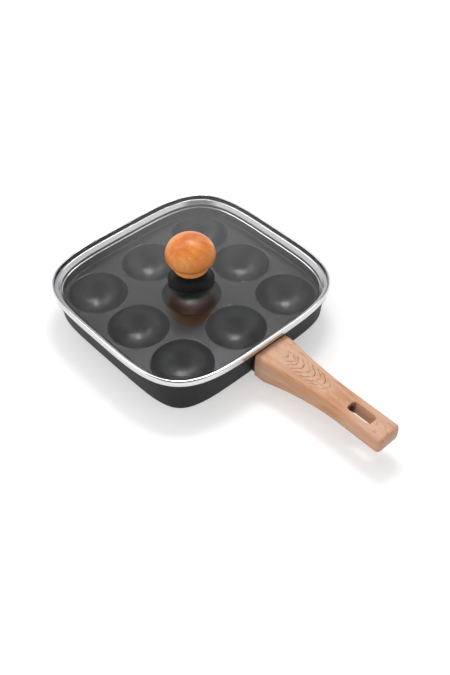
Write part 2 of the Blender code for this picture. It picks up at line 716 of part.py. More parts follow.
def build():
    clear_scene()
    coating = material("coated_aluminium", (0.065, 0.064, 0.068), 0.42, 0.3)
    stainless = material("polished_steel", (0.78, 0.78, 0.79), 0.12, 1.0)
    zinc_steel = material("zinc_plated_steel", (0.62, 0.62, 0.63), 0.3, 1.0)
    glass = material("clear_glass", (0.93, 0.95, 0.95), 0.02, 0.0, 1.0)
    knob_wood = material("varnished_wood", (0.62, 0.235, 0.07), 0.28)
    handle_finish = material("wood_print_phenolic", (0.66, 0.40, 0.26), 0.42)
    phenolic = material("black_phenolic", (0.012, 0.012, 0.012), 0.35)
    brass = material("brass", (0.66, 0.46, 0.16), 0.3, 1.0)
    silicone = material("grey_silicone", (0.45, 0.46, 0.46), 0.6)
    make_pan(coating)
    handle_mount = add_empty("handle_mount", (HANDLE_FRONT, 0.0, SCREW_AXIS))
    make_handle(handle_finish, handle_mount)
    make_handle_fixings(zinc_steel, handle_mount)
    lid = add_empty("lid", (0.0, 0.0, LID_BOTTOM))
    make_lid(stainless, glass, lid)
    make_knob(knob_wood, phenolic, brass, silicone, zinc_steel, lid)


build()
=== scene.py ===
"""Looks of the square nine-cup paniyaram pan: fine meshes, finishes, floor, lights and camera.

Metres, +Z up, in the frame's own axes: the origin is the middle of the pan's underside and the
handle points along +X.
"""

import math

import bmesh
import bpy
from mathutils import Euler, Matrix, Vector


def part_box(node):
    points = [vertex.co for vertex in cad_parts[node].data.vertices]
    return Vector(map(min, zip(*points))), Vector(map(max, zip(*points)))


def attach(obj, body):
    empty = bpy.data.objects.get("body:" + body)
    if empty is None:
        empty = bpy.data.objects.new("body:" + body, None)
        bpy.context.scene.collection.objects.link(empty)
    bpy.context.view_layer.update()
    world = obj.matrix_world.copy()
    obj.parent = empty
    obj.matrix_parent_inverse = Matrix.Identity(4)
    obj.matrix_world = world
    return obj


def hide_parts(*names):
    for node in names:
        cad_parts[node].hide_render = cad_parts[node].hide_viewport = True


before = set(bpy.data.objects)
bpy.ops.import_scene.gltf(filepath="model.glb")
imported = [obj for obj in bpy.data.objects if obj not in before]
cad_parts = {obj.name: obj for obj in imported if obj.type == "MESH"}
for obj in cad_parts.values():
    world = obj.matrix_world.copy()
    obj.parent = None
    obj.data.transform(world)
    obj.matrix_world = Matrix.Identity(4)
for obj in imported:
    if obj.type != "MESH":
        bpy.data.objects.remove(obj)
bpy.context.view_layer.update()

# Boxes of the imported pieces
PAN_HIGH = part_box("pan_body")[1]
RIM_LOW, RIM_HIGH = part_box("lid_rim")
GLASS_LOW, GLASS_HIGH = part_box("lid_glass")
KNOB_LOW, KNOB_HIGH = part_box("knob")
BASE_LOW, BASE_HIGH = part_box("knob_base")
HANDLE_LOW, HANDLE_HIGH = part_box("handle")
SCREW_LOW, SCREW_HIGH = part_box("handle_screw")

# Play between pieces that seat on each other
GAP = 0.0003

# Cups
CUP_RADIUS = 0.0280
CUP_PITCH_X = 0.0610
CUP_PITCH_Y = 0.0642
CUP_WALL = 0.0032
CUP_FLOOR = 0.0026
CUP_EDGE_RADIUS = 0.0012

# Share of the plate's thickness that the cups' shells reach up into
SHELL_OVERLAP = 0.9

# Plate and tray wall
PLATE_HEIGHT = 0.0214
PLATE_THICKNESS = 0.0030
TRAY_DRAFT = 0.0034
TRAY_FOOT_RADIUS = 0.0018

# Outer wall and lip; a higher power gives the bowed square sharper corners
HALF_X = RIM_HIGH[0]
HALF_Y = RIM_HIGH[1]
CORNER_POWER = 4.0
FOOT_CORNER_POWER = 5.1
LIP_HEIGHT = PAN_HIGH[2]
LIP_THICKNESS = 0.0022
LIP_EDGE_RADIUS = 0.0007
LIP_INSET = 0.0006
LIP_OVERHANG = 0.0035
LEDGE_WIDTH = 0.0050
WALL_INSET = LIP_INSET + LIP_OVERHANG
WALL_DRAFT = 0.0065
BOTTOM_EDGE_RADIUS = 0.0040
FOOT_WIDTH = 0.0012
SKIRT_DRAFT = 0.0008
TRAY_TOP_INSET = LIP_INSET + LEDGE_WIDTH
TRAY_FOOT_INSET = TRAY_TOP_INSET + TRAY_DRAFT

# Least cosine between the normal of an outside face and the way out from the middle
OUTWARD_COSINE = 1 / 3

# Steel band of the lid
BAND_THICKNESS = 0.0006
BAND_CORNER_RADIUS = 0.0015
BAND_ROLL_WIDTH = 0.0020
BAND_ROLL_HEIGHT = 0.0015
FLANGE_WIDTH = 0.0024
CHANNEL_WIDTH = 0.0028
FUNNEL_DROP = 0.0028
FUNNEL_BEND = 0.0010
SKIRT_CLEARANCE = 0.0008
SKIRT_BEAD_RADIUS = 0.0008
LID_TOP = RIM_HIGH[2]
LID_BOTTOM = LIP_HEIGHT + GAP

# Glass
GLASS_INSET = BAND_THICKNESS + GAP
GLASS_BEVEL = 0.0009
GLASS_BEVEL_WIDTH = 0.0014
GLASS_HOLE_RADIUS = 0.0040

# Knob and its base
KNOB_RADIUS = KNOB_HIGH[0]
KNOB_UPPER_HEIGHT = 0.0192
KNOB_LOWER_HEIGHT = 0.0138
KNOB_FOOT_RADIUS = 0.0160
KNOB_FOOT_HEIGHT = 0.0018
KNOB_NECK_RADIUS = 0.0148
KNOB_BORE_RADIUS = 0.0046
KNOB_BORE_DEPTH = 0.0156
BASE_RADIUS = BASE_HIGH[0]
BASE_NECK_RADIUS = 0.0148
BASE_EDGE_HEIGHT = 0.0012
BASE_NECK_LENGTH = 0.0040
BASE_HOLE_RADIUS = 0.0027
SEAL_RECESS_RADIUS = 0.0088
SEAL_RECESS_DEPTH = 0.0010

# Handle
HANDLE_FRONT = HANDLE_LOW[0]
HANDLE_LENGTH = HANDLE_HIGH[0] - HANDLE_LOW[0]
HANDLE_TOP = 0.0335
FRONT_HALF_WIDTH = 0.0190
FRONT_BOTTOM = HANDLE_LOW[2]
FRONT_EDGE = 0.0008
GRIP_HALF_WIDTH = 0.0126
GRIP_BOTTOM = 0.0177
COLLAR_LENGTH = 0.0090
WAIST_LENGTH = 0.0760
WAIST_POWER = 2.0
BELLY_START = 0.0120
BELLY_LENGTH = 0.0800
BELLY_POWER = 1.6
TOP_EDGE_RADIUS = 0.0026
FRONT_EDGE_ROUND = 0.0050
GRIP_EDGE_ROUND = 0.0028
ROUND_SHARE_OF_HEIGHT = 0.45
SIDE_BULGE = 0.0006
TOP_CROWN = 0.0005
END_ROUND = 0.0035

# Stations just before and after the collar's end, as shares of its length
COLLAR_STATIONS = (0.9, 1.05)

# Hang slot
SLOT_LENGTH = 0.0245
SLOT_WIDTH = 0.0104
SLOT_CORNER_RADIUS = 0.0028
SLOT_END_MARGIN = 0.0180
SLOT_EDGE_RADIUS = 0.0008
SLOT_EDGE_ANGLES = (90, 67, 45, 22, 0)
SLOT_FLARE = 0.0025

# Boss, tongue and the bores along the handle's screw
SCREW_AXIS = (SCREW_LOW[2] + SCREW_HIGH[2]) / 2
BOSS_FACE = HANDLE_FRONT - GAP
BOSS_INSET = 0.0013
BOSS_ROOT = 0.0010
TONGUE_LENGTH = 0.0210
TONGUE_HALF_WIDTH = 0.0115
TONGUE_HALF_HEIGHT = 0.0058
TONGUE_EDGE_RADIUS = 0.0020
INSERT_BORE_RADIUS = 0.0046
INSERT_BORE_DEPTH = 0.0133
SCREW_HOLE_RADIUS = 0.0027
SCREW_SEAT = 0.0460
SCREW_BORE_RADIUS = 0.0049

# Wood of the knob: axis and turns of its grain, how strong the rings are, and how strong the painted
# light is that lightens its lower part
RING_AXIS = (0.010, -0.014)
RING_TURN = (math.radians(35), math.radians(25), 0.0)
FIBRE_TURN = (0.6, 0.45, 0.0)
RING_SHARE = 0.34
PAINTED_LIGHT_SHARE = 0.75

# Arches of the handle's wood print; they fade out between two shares of their reach
CHEVRON_CENTRE = 0.1490
CHEVRON_REACH = (0.0300, 0.0105)
CHEVRON_FADE = (0.80, 1.0)
CHEVRON_TIP = 0.0034
CHEVRON_SLOPE = 1.35
CHEVRON_WOBBLE = 0.0036
CHEVRON_SPACING = 0.0060
CHEVRON_SHARE = 0.90

# The print's thin lines, the depths below the top where all lines fade, and the warm stretch's ends
CONTOUR_COUNT = 11.0
CONTOUR_SHARE = 0.42
PRINT_DEPTH = (0.0016, 0.0008)
WARM_REACH = ((0.172, 0.182), (0.192, 0.204))

# Painted shade on the hang slot's end wall towards the pan, which faces away from the lamps
SLOT_SHADE_REACH = 0.0022
SLOT_SHADE_SHARE = 0.75

# Colours in linear light; the first of a group is the darkest
COATING = ((0.009, 0.009, 0.0098), (0.012, 0.012, 0.0130))
COATING_SPECK = (0.06, 0.06, 0.064)
OUTSIDE_PAINT = ((0.027, 0.027, 0.028), (0.036, 0.036, 0.037))
STEEL = ((0.66, 0.66, 0.665), (0.78, 0.78, 0.785))
# Painted shade: a near-black finish inside the band's channel, where shade falls
PAINTED_CHANNEL_SHADE = ((0.020, 0.020, 0.020), (0.030, 0.030, 0.030))
GLASS = ((0.962, 0.964, 0.972), (0.970, 0.972, 0.980))
GLASS_FOR_LIGHT = (0.94, 0.94, 0.95)
KNOB_WOOD = ((0.68, 0.155, 0.024), (0.88, 0.265, 0.050), (0.97, 0.400, 0.110))
KNOB_RING = (0.44, 0.115, 0.026)
# Painted light that lightens the knob towards its foot
KNOB_PAINTED_LIGHT = (1.0, 0.40, 0.10)
PRINT_BASE = ((0.61, 0.300, 0.164), (0.66, 0.382, 0.244), (0.69, 0.438, 0.308))
PRINT_STREAK = ((0.90, 0.86, 0.82), (1.05, 1.05, 1.05))
PRINT_WARM = (0.52, 0.215, 0.085)
PRINT_LINE = (0.23, 0.100, 0.052)
# Painted shade of the hang slot's end wall
SLOT_SHADE = (0.10, 0.040, 0.020)
BLACK_PHENOLIC = ((0.008, 0.008, 0.008), (0.014, 0.014, 0.014))
ZINC = ((0.52, 0.53, 0.54), (0.66, 0.67, 0.68))
BRASS = ((0.60, 0.40, 0.13), (0.74, 0.53, 0.20))
SILICONE = ((0.38, 0.38, 0.38), (0.46, 0.46, 0.46))
FLOOR = ((0.64, 0.64, 0.64), (0.65, 0.65, 0.65))
WHITE = (1.0, 1.0, 1.0)

# How strong the coating's specks are
SPECK_SHARE = 0.10

# Facets: points round an outline, segments round an axis, steps along an arc or a side
OUTLINE_POINTS = 240
CUP_SEGMENTS = 96
CUP_RINGS = 20
SHELL_SEGMENTS = 64
SHELL_RINGS = 10
ROUND_SEGMENTS = 96
SMALL_SEGMENTS = 32
EDGE_STEPS = 4
FINE_STEPS = 6
BEND_STEPS = 8
SIDE_STEPS = 4
ROLL_STEPS = 14
KNOB_STEPS = (16, 24)
KNOB_NECK_STEPS = 3
BASE_EDGE_STEPS = 5
BASE_FLARE_STEPS = 20
FRONT_STEPS = 3
GRIP_STATIONS = 40
END_STEPS = 8
SMOOTH_ANGLE = math.radians(32)

# Camera, from the photograph's perspective
CAMERA_PLACE = Vector((0.4612, -0.3856, 0.5825))
CAMERA_AZIMUTH = math.radians(47.10)
CAMERA_ELEVATION = math.radians(45.90)
CAMERA_LENS = 46.24
CAMERA_SENSOR = 36.0
CAMERA_CLIP = (0.01, 50.0)

# Floor, its glow near the pan, and the distances between which the glow grows to white
FLOOR_SIZE = 6.0
FLOOR_GLOW = 0.43
FLOOR_FADE = (0.55, 1.60)

# Strength of the world's light on matt surfaces
AMBIENT = 0.47

# What mirrors see of the world; each pair is a soft edge, from one angle in degrees to another
HORIZON_TOP = (34, 37)
BACKDROP_TOP = (38, 47)
BACKDROP_SIDE = (8, 17)
SIDE_TOP = (60, 72)
SIDE_EDGE = (32, 55)
GAP_EDGE = (22, 32)
GAP_CENTRE = math.radians(54)

# Brightness there; the gap's is given for rays off the pane's top, then for rays through the pane
SIDE_LEVEL = 0.88
TENT_LEVEL = 0.20
GAP_LEVEL = (0.08, 0.60)

# Softboxes: metres across, away and up as the camera sees them, width, depth, and power in watts
SOFTBOXES = {
    "softbox_main": (0.06, 0.60, 1.26, 0.44, 0.20, 5.8),
    "softbox_wide": (0.0, 0.62, 1.28, 1.80, 0.34, 6.0),
    "softbox_left": (-0.72, 0.20, 1.20, 0.36, 0.30, 1.2),
    "softbox_front": (-0.50, -1.00, 0.66, 1.40, 0.50, 4.6),
}

# Colour sockets of a mix node, which come after those for numbers and vectors
MIX_COLOURS = (6, 7)
MIX_RESULT = 2

ALONG_X = Euler((0.0, math.pi / 2, 0.0))


def smooth(mesh):
    mesh.shade_smooth()
    mesh.set_sharp_from_angle(angle=SMOOTH_ANGLE)


def new_object(name, data):
    obj = bpy.data.objects.new(name, data)
    bpy.context.scene.collection.objects.link(obj)
    return obj


def add_object(name, shape, finish=None):
    """Turns a bmesh into an object in world coordinates."""
    bmesh.ops.recalc_face_normals(shape, faces=shape.faces)
    mesh = bpy.data.meshes.new(name)
    shape.to_mesh(mesh)
    shape.free()
    smooth(mesh)
    if finish:
        mesh.materials.append(finish)
    return new_object(name, mesh)


def dress(obj, body, node):
    """Puts a piece on its body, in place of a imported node."""
    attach(obj, body)
    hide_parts(node)
    return obj


def carve(obj, steps):
    """Joins shapes to a solid or cuts them from it, and keeps the result as the object's own mesh."""
    helpers = []
    for shape, operation in steps:
        helper = add_object(f"{obj.name}_helper", shape)
        change = obj.modifiers.new(operation, "BOOLEAN")
        change.operation = operation
        change.object = helper
        helpers.append(helper)
    finish = obj.data.materials[0]
    plain = obj.data
    graph = bpy.context.evaluated_depsgraph_get()
    solid = bpy.data.meshes.new_from_object(obj.evaluated_get(graph))
    obj.modifiers.clear()
    solid.name = obj.name
    solid.materials.clear()
    solid.materials.append(finish)
    obj.data = solid
    smooth(solid)
    bpy.data.meshes.remove(plain)
    for helper in helpers:
        bpy.data.meshes.remove(helper.data)
    even = obj.modifiers.new("even_normals", "WEIGHTED_NORMAL")
    even.keep_sharp = True


def bridge(shape, first, second):
    """Faces between two rings of vertices; a ring of one vertex is a pole."""
    count = max(len(first), len(second))
    for i in range(count):
        j = (i + 1) % count
        if len(first) == 1:
            shape.faces.new((first[0], second[i], second[j]))
        elif len(second) == 1:
            shape.faces.new((first[i], first[j], second[0]))
        else:
            shape.faces.new((first[i], first[j], second[j], second[i]))


def loft(rings, closed=False, shape=None):
    """A solid through rings of points, with flat ends or closed on itself."""
    shape = shape or bmesh.new()
    made = [[shape.verts.new(point) for point in ring] for ring in rings]
    for first, second in zip(made, made[1:]):
        bridge(shape, first, second)
    if closed:
        bridge(shape, made[-1], made[0])
        return shape
    for end in (made[0], made[-1]):
        if len(end) > 1:
            shape.faces.new(end)
    return shape


def circle(radius, height, segments):
    if radius == 0:
        return [Vector((0.0, 0.0, height))]
    turns = [2 * math.pi * i / segments for i in range(segments)]
    return [Vector((radius * math.cos(t), radius * math.sin(t), height)) for t in turns]


def turned(profile, segments, hollow=False, place=None, turn=None, shape=None):
    """A solid turned about Z from (radius, height) points, then turned and moved to its place."""
    rings = [circle(radius, height, segments) for radius, height in profile]
    for ring in rings:
        for point in ring:
            if turn:
                point.rotate(turn)
            point += place or Vector()
    return loft(rings, closed=hollow, shape=shape)


def arc(centre, radius_across, radius_up, start, end, steps):
    """Points of an elliptic arc, from start to end in degrees."""
    angles = [math.radians(start + (end - start) * i / steps) for i in range(steps + 1)]
    return [
        (centre[0] + radius_across * math.cos(a), centre[1] + radius_up * math.sin(a))
        for a in angles
    ]


def rounded(profile, corners, radius):
    """The profile with a fillet at each corner whose index is listed."""
    made = []
    count = len(profile)
    for i, point in enumerate(profile):
        if i not in corners:
            made.append(point)
            continue
        here = Vector(point)
        back = (Vector(profile[i - 1]) - here).normalized()
        ahead = (Vector(profile[(i + 1) % count]) - here).normalized()
        half = back.angle(ahead) / 2
        centre = here + (back + ahead).normalized() * radius / math.sin(half)
        start = here + back * radius / math.tan(half) - centre
        end = here + ahead * radius / math.tan(half) - centre
        for j in range(FINE_STEPS + 1):
            spoke = start.lerp(end, j / FINE_STEPS).normalized() * radius
            made.append(tuple(centre + spoke))
    return made


def outline(inset, height, power=CORNER_POWER):
    """The pan's bowed square, this far inside the lid's outer edge."""
    points = []
    for i in range(OUTLINE_POINTS):
        turn = 2 * math.pi * i / OUTLINE_POINTS
        c, s = math.cos(turn), math.sin(turn)
        x = HALF_X * math.copysign(abs(c) ** (2 / power), c)
        y = HALF_Y * math.copysign(abs(s) ** (2 / power), s)
        slope_x = math.copysign(abs(x / HALF_X) ** (power - 1) / HALF_X, x)
        slope_y = math.copysign(abs(y / HALF_Y) ** (power - 1) / HALF_Y, y)
        normal = Vector((slope_x, slope_y)).normalized()
        points.append(Vector((x - inset * normal.x, y - inset * normal.y, height)))
    return points


def framed(profile, closed=False):
    """A solid that follows the outline, from (inset, height) points that may add a power."""
    return loft([outline(*point) for point in profile], closed)


def wall_inset(height):
    """The outer wall's inset, which grows downwards with its draft."""
    top = LIP_HEIGHT - LIP_THICKNESS
    share = (top - height) / (top - BOTTOM_EDGE_RADIUS)
    return WALL_INSET + WALL_DRAFT * min(max(share, 0.0), 1.0)


def tray_inset(height):
    """The tray wall's inset, which grows downwards with its draft."""
    top = LIP_HEIGHT - LIP_EDGE_RADIUS
    foot = PLATE_HEIGHT + TRAY_FOOT_RADIUS
    return TRAY_TOP_INSET + TRAY_DRAFT * (top - height) / (top - foot)


def squarer_below(points):
    """Adds to (inset, height) points of the wall the power that squares its corners at the foot."""
    top = LIP_HEIGHT - LIP_THICKNESS
    change = FOOT_CORNER_POWER - CORNER_POWER
    return [(inset, height, CORNER_POWER + change * (top - height) / top) for inset, height in points]


def rounded_section(half, low, high, low_radius, high_radius, bulge=0.0, crown=0.0):
    """(y, z) points of a rounded rectangle, with slightly bowed sides and top."""
    corners = (
        (half - low_radius, low + low_radius, low_radius, -90),
        (half - high_radius, high - high_radius, high_radius, 0),
        (-half + high_radius, high - high_radius, high_radius, 90),
        (-half + low_radius, low + low_radius, low_radius, 180),
    )
    points = []
    for i, (y, z, radius, start) in enumerate(corners):
        points += arc((y, z), radius, radius, start, start + 90, FINE_STEPS)
        ahead = corners[(i + 1) % len(corners)]
        onward = arc(ahead[:2], ahead[2], ahead[2], ahead[3], ahead[3] + 90, 1)[0]
        for j in range(1, SIDE_STEPS):
            share = j / SIDE_STEPS
            last = points[-j]
            points.append(tuple(Vector(last).lerp(Vector(onward), share)))
    middle = (low + high) / 2
    bowed = []
    for y, z in points:
        out = bulge * (1 - ((z - middle) / (high - middle)) ** 2)
        up = crown * (1 - (y / half) ** 2) if z > middle else 0.0
        bowed.append((y + math.copysign(out, y) if y else 0.0, z + up))
    return bowed


def section_at(x, points):
    return [Vector((x, y, z)) for y, z in points]


def cup_places():
    for i in (-1, 0, 1):
        for j in (-1, 0, 1):
            yield Vector((i * CUP_PITCH_X, j * CUP_PITCH_Y, 0.0))


def sphere_of_cup():
    """The radius and the height of the centre of the sphere that the cups are part of."""
    depth = PLATE_HEIGHT - CUP_FLOOR
    radius = (CUP_RADIUS ** 2 + depth ** 2) / (2 * depth)
    return radius, CUP_FLOOR + radius


def cup_hollows():
    """The spaces inside the cups, with their rounded edges and a run past the plate's top."""
    ball, ball_height = sphere_of_cup()
    edge = CUP_EDGE_RADIUS
    rise = PLATE_HEIGHT - edge - ball_height
    reach = math.sqrt((ball + edge) ** 2 - rise ** 2)
    tilt = math.degrees(math.atan2(rise, reach))
    profile = [(0.0, CUP_FLOOR)]
    profile += arc((0.0, ball_height), ball, ball, -90, tilt, CUP_RINGS)[1:]
    profile += arc((reach, PLATE_HEIGHT - edge), edge, edge, 180 + tilt, 90, FINE_STEPS)[1:]
    profile += [(reach, PLATE_HEIGHT + edge), (0.0, PLATE_HEIGHT + edge)]
    shape = bmesh.new()
    for place in cup_places():
        turned(profile, CUP_SEGMENTS, place=place, shape=shape)
    return shape


def cup_shells():
    """The cups' outsides below the plate, cut flat where the pan stands on them."""
    ball, ball_height = sphere_of_cup()
    radius = ball + CUP_WALL
    inside = PLATE_HEIGHT - PLATE_THICKNESS * SHELL_OVERLAP - ball_height
    start = math.degrees(math.asin(-ball_height / radius))
    end = math.degrees(math.asin(inside / radius))
    side = arc((0.0, ball_height), radius, radius, start, end, SHELL_RINGS)
    profile = [(0.0, 0.0)] + side + [(0.0, ball_height + inside)]
    shape = bmesh.new()
    for place in cup_places():
        turned(profile, SHELL_SEGMENTS, place=place, shape=shape)
    return shape


def pan_casting():
    """Plate, tray wall, lip and skirt, open underneath."""
    plate_bottom = PLATE_HEIGHT - PLATE_THICKNESS
    lip_bottom = LIP_HEIGHT - LIP_THICKNESS
    foot = wall_inset(0.0) + BOTTOM_EDGE_RADIUS
    skirt = foot + FOOT_WIDTH
    edge = LIP_EDGE_RADIUS
    tray_foot = TRAY_FOOT_RADIUS
    wall = [(skirt + SKIRT_DRAFT, plate_bottom), (skirt, 0.0)]
    bottom = BOTTOM_EDGE_RADIUS
    wall += arc((foot, bottom), -bottom, bottom, -90, 0, BEND_STEPS)
    profile = squarer_below(wall)
    profile += [(WALL_INSET, lip_bottom)]
    profile += arc((LIP_INSET + edge, lip_bottom + edge), -edge, edge, -90, 0, EDGE_STEPS)
    profile += arc((LIP_INSET + edge, LIP_HEIGHT - edge), edge, edge, 180, 90, EDGE_STEPS)
    profile += arc((TRAY_TOP_INSET - edge, LIP_HEIGHT - edge), edge, edge, 90, 0, EDGE_STEPS)
    centre = (TRAY_FOOT_INSET + tray_foot, PLATE_HEIGHT + tray_foot)
    profile += arc(centre, tray_foot, tray_foot, 180, 270, FINE_STEPS)
    return framed(profile)


def boss():
    """The block on the wall that the handle meets, its back edge sunk in the drafted wall."""
    low = FRONT_BOTTOM + BOSS_INSET
    high = HANDLE_TOP - BOSS_INSET
    half = FRONT_HALF_WIDTH - BOSS_INSET
    points = rounded_section(half, low, high, FRONT_EDGE_ROUND, TOP_EDGE_RADIUS)
    back = [Vector((HALF_X - wall_inset(z) - BOSS_ROOT, y, z)) for y, z in points]
    return loft([back, section_at(BOSS_FACE, points)])


def tongue():
    """The tongue that carries the handle, its end edges chamfered."""
    end = BOSS_FACE + TONGUE_LENGTH
    chamfer = TONGUE_EDGE_RADIUS / 2
    rings = []
    for x, inset in ((BOSS_FACE - BOSS_ROOT, 0.0), (end - chamfer, 0.0), (end, chamfer)):
        high = TONGUE_HALF_HEIGHT - inset
        half = TONGUE_HALF_WIDTH - inset
        points = rounded_section(half, -high, high, TONGUE_EDGE_RADIUS, TONGUE_EDGE_RADIUS)
        rings.append([Vector((x, y, SCREW_AXIS + z)) for y, z in points])
    return loft(rings)


def insert_bore():
    """The blind bore in the tongue's end."""
    end = TONGUE_LENGTH - INSERT_BORE_DEPTH
    radius = INSERT_BORE_RADIUS
    past = TONGUE_LENGTH + GAP
    profile = [(0.0, end), (radius, end), (radius, past), (0.0, past)]
    place = Vector((BOSS_FACE, 0.0, SCREW_AXIS))
    return turned(profile, SMALL_SEGMENTS, place=place, turn=ALONG_X)


def paint_outside(pan, paint):
    """Gives the faces that look away from the pan's middle, apart from the cups', the outside paint."""
    pan.data.materials.append(paint)
    clear_of_cups = CUP_RADIUS + CUP_EDGE_RADIUS
    for polygon in pan.data.polygons:
        centre = polygon.center.copy()
        centre.z = 0.0
        faces_out = polygon.normal.dot(centre) > OUTWARD_COSINE * centre.length
        if faces_out and min((centre - cup).length for cup in cup_places()) > clear_of_cups:
            polygon.material_index = 1


def make_pan(finish, paint):
    pan = add_object("pan_casting", pan_casting(), finish)
    carve(pan, (
        (boss(), "UNION"),
        (tongue(), "UNION"),
        (cup_shells(), "UNION"),
        (cup_hollows(), "DIFFERENCE"),
        (insert_bore(), "DIFFERENCE"),
    ))
    paint_outside(pan, paint)
    return dress(pan, "pan", "pan_body")


def handle_half_width(x):
    """Even along the collar, then narrowing to the grip."""
    left = 1 - min(max((x - COLLAR_LENGTH) / WAIST_LENGTH, 0.0), 1.0)
    return GRIP_HALF_WIDTH + (FRONT_HALF_WIDTH - GRIP_HALF_WIDTH) * left ** WAIST_POWER


def belly(x, front, grip):
    """A size that sweeps from its value at the front to its value along the grip."""
    left = 1 - min(max((x - BELLY_START) / BELLY_LENGTH, 0.0), 1.0)
    return grip + (front - grip) * left ** BELLY_POWER


def handle_stations():
    """(distance from the front, how far the section is drawn in there)."""
    stations = []
    for i in range(FRONT_STEPS):
        turn = math.pi / 2 * i / FRONT_STEPS
        stations.append((FRONT_EDGE * (1 - math.cos(turn)), FRONT_EDGE * (1 - math.sin(turn))))
    stations.append((FRONT_EDGE, 0.0))
    stations += [(COLLAR_LENGTH * share, 0.0) for share in COLLAR_STATIONS]
    last = max(WAIST_LENGTH + COLLAR_LENGTH, BELLY_START + BELLY_LENGTH)
    for i in range(GRIP_STATIONS):
        share = i / (GRIP_STATIONS - 1)
        stations.append((BELLY_START + (last - BELLY_START) * share, 0.0))
    for i in range(END_STEPS + 1):
        turn = math.pi / 2 * i / END_STEPS
        x = HANDLE_LENGTH - END_ROUND * (1 - math.sin(turn))
        stations.append((x, END_ROUND * (1 - math.cos(turn))))
    return stations


def handle_body():
    """The handle's outside: a straight collar, a hollow waist, an even grip and a round end."""
    rings = []
    for x, inset in handle_stations():
        high = HANDLE_TOP - inset
        low = belly(x, FRONT_BOTTOM, GRIP_BOTTOM) + inset
        half = handle_half_width(x) - inset
        room = ROUND_SHARE_OF_HEIGHT * (high - low)
        below = min(belly(x, FRONT_EDGE_ROUND, GRIP_EDGE_ROUND), room)
        above = min(TOP_EDGE_RADIUS, room)
        points = rounded_section(half, low, high, below, above, SIDE_BULGE, TOP_CROWN)
        rings.append(section_at(HANDLE_FRONT + x, points))
    return loft(rings)


def slot_ring(grow, height):
    """The slot's outline at one height, grown by its rounded edge."""
    middle = HANDLE_FRONT + HANDLE_LENGTH - SLOT_END_MARGIN - SLOT_LENGTH / 2
    radius = SLOT_CORNER_RADIUS + grow
    across = SLOT_WIDTH / 2 + grow
    along = SLOT_LENGTH / 2 + grow
    points = rounded_section(across, -along, along, radius, radius)
    return [Vector((middle + x, y, height)) for y, x in points]


def hang_slot():
    """A slot through the handle, its edge rounded above and flared below."""
    top = HANDLE_TOP + TOP_CROWN
    edge = SLOT_EDGE_RADIUS
    rings = [slot_ring(SLOT_FLARE + edge, GRIP_BOTTOM - edge)]
    for i in range(EDGE_STEPS + 1):
        rise = SLOT_FLARE * i / EDGE_STEPS
        rings.append(slot_ring((SLOT_FLARE - rise) ** 2 / SLOT_FLARE, GRIP_BOTTOM + rise))
    for angle in SLOT_EDGE_ANGLES:
        turn = math.radians(angle)
        rings.append(slot_ring(edge * (1 - math.sin(turn)), top - edge * (1 - math.cos(turn))))
    rings.append(slot_ring(2 * edge, top + edge))
    return loft(rings)


def socket():
    """The handle's pocket for the tongue."""
    half = TONGUE_HALF_WIDTH + GAP
    high = TONGUE_HALF_HEIGHT + GAP
    points = rounded_section(half, -high, high, TONGUE_EDGE_RADIUS, TONGUE_EDGE_RADIUS)
    ends = (HANDLE_FRONT - FRONT_EDGE, HANDLE_FRONT + TONGUE_LENGTH)
    return loft([[Vector((x, y, SCREW_AXIS + z)) for y, z in points] for x in ends])


def screw_bore():
    """A stepped bore, from the slot to a seat for the washer and on to the pocket."""
    slot_wall = HANDLE_LENGTH - SLOT_END_MARGIN - SLOT_LENGTH / 2
    profile = [
        (0.0, TONGUE_LENGTH / 2),
        (SCREW_HOLE_RADIUS, TONGUE_LENGTH / 2),
        (SCREW_HOLE_RADIUS, SCREW_SEAT),
        (SCREW_BORE_RADIUS, SCREW_SEAT),
        (SCREW_BORE_RADIUS, slot_wall),
        (0.0, slot_wall),
    ]
    place = Vector((HANDLE_FRONT, 0.0, SCREW_AXIS))
    return turned(profile, SMALL_SEGMENTS, place=place, turn=ALONG_X)


def make_handle(finish):
    handle = add_object("handle_grip", handle_body(), finish)
    carve(handle, (
        (hang_slot(), "DIFFERENCE"),
        (socket(), "DIFFERENCE"),
        (screw_bore(), "DIFFERENCE"),
    ))
    return dress(handle, "pan", "handle")


def rim_profile():
    """The rolled steel band's section, and which of its runs line the channel that holds the glass.

    Outer wall, crowned top flange, bottom flange, funnel and beaded skirt.
    """
    thick = BAND_THICKNESS
    half = thick / 2
    corner = BAND_CORNER_RADIUS
    low = LID_BOTTOM
    skirt_end = RIM_LOW[2]
    bead = SKIRT_BEAD_RADIUS
    skirt = tray_inset(skirt_end) + SKIRT_CLEARANCE
    inner = skirt + thick
    funnel = TRAY_TOP_INSET - LIP_EDGE_RADIUS
    crown = (BAND_ROLL_WIDTH, LID_TOP - BAND_ROLL_HEIGHT)
    bend = low + half - FUNNEL_DROP
    profile = arc((corner / 2, low + corner / 2), -corner / 2, corner / 2, -90, 0, EDGE_STEPS)
    profile += arc(crown, BAND_ROLL_WIDTH, BAND_ROLL_HEIGHT, 180, 90, ROLL_STEPS)
    profile += arc((FLANGE_WIDTH - half, LID_TOP - half), half, half, 90, -90, FINE_STEPS)
    channel = len(profile) - 1
    profile += arc(crown, BAND_ROLL_WIDTH - thick, BAND_ROLL_HEIGHT - thick, 90, 180, BEND_STEPS)
    profile += arc((corner, low + corner), corner - thick, corner - thick, 180, 270, EDGE_STEPS)
    profile.append((CHANNEL_WIDTH, low + thick))
    lining = range(channel, len(profile) - 1)
    bends = [(funnel + half, low + thick), (inner, bend), (inner, skirt_end + 2 * bead)]
    profile += rounded([profile[-1]] + bends, (1, 2), FUNNEL_BEND)[1:-1]
    profile += arc((inner, skirt_end + bead), bead, bead, 90, -90, BEND_STEPS)
    profile += [(skirt, skirt_end), (skirt, low - FUNNEL_DROP), (funnel, low)]
    return profile, lining


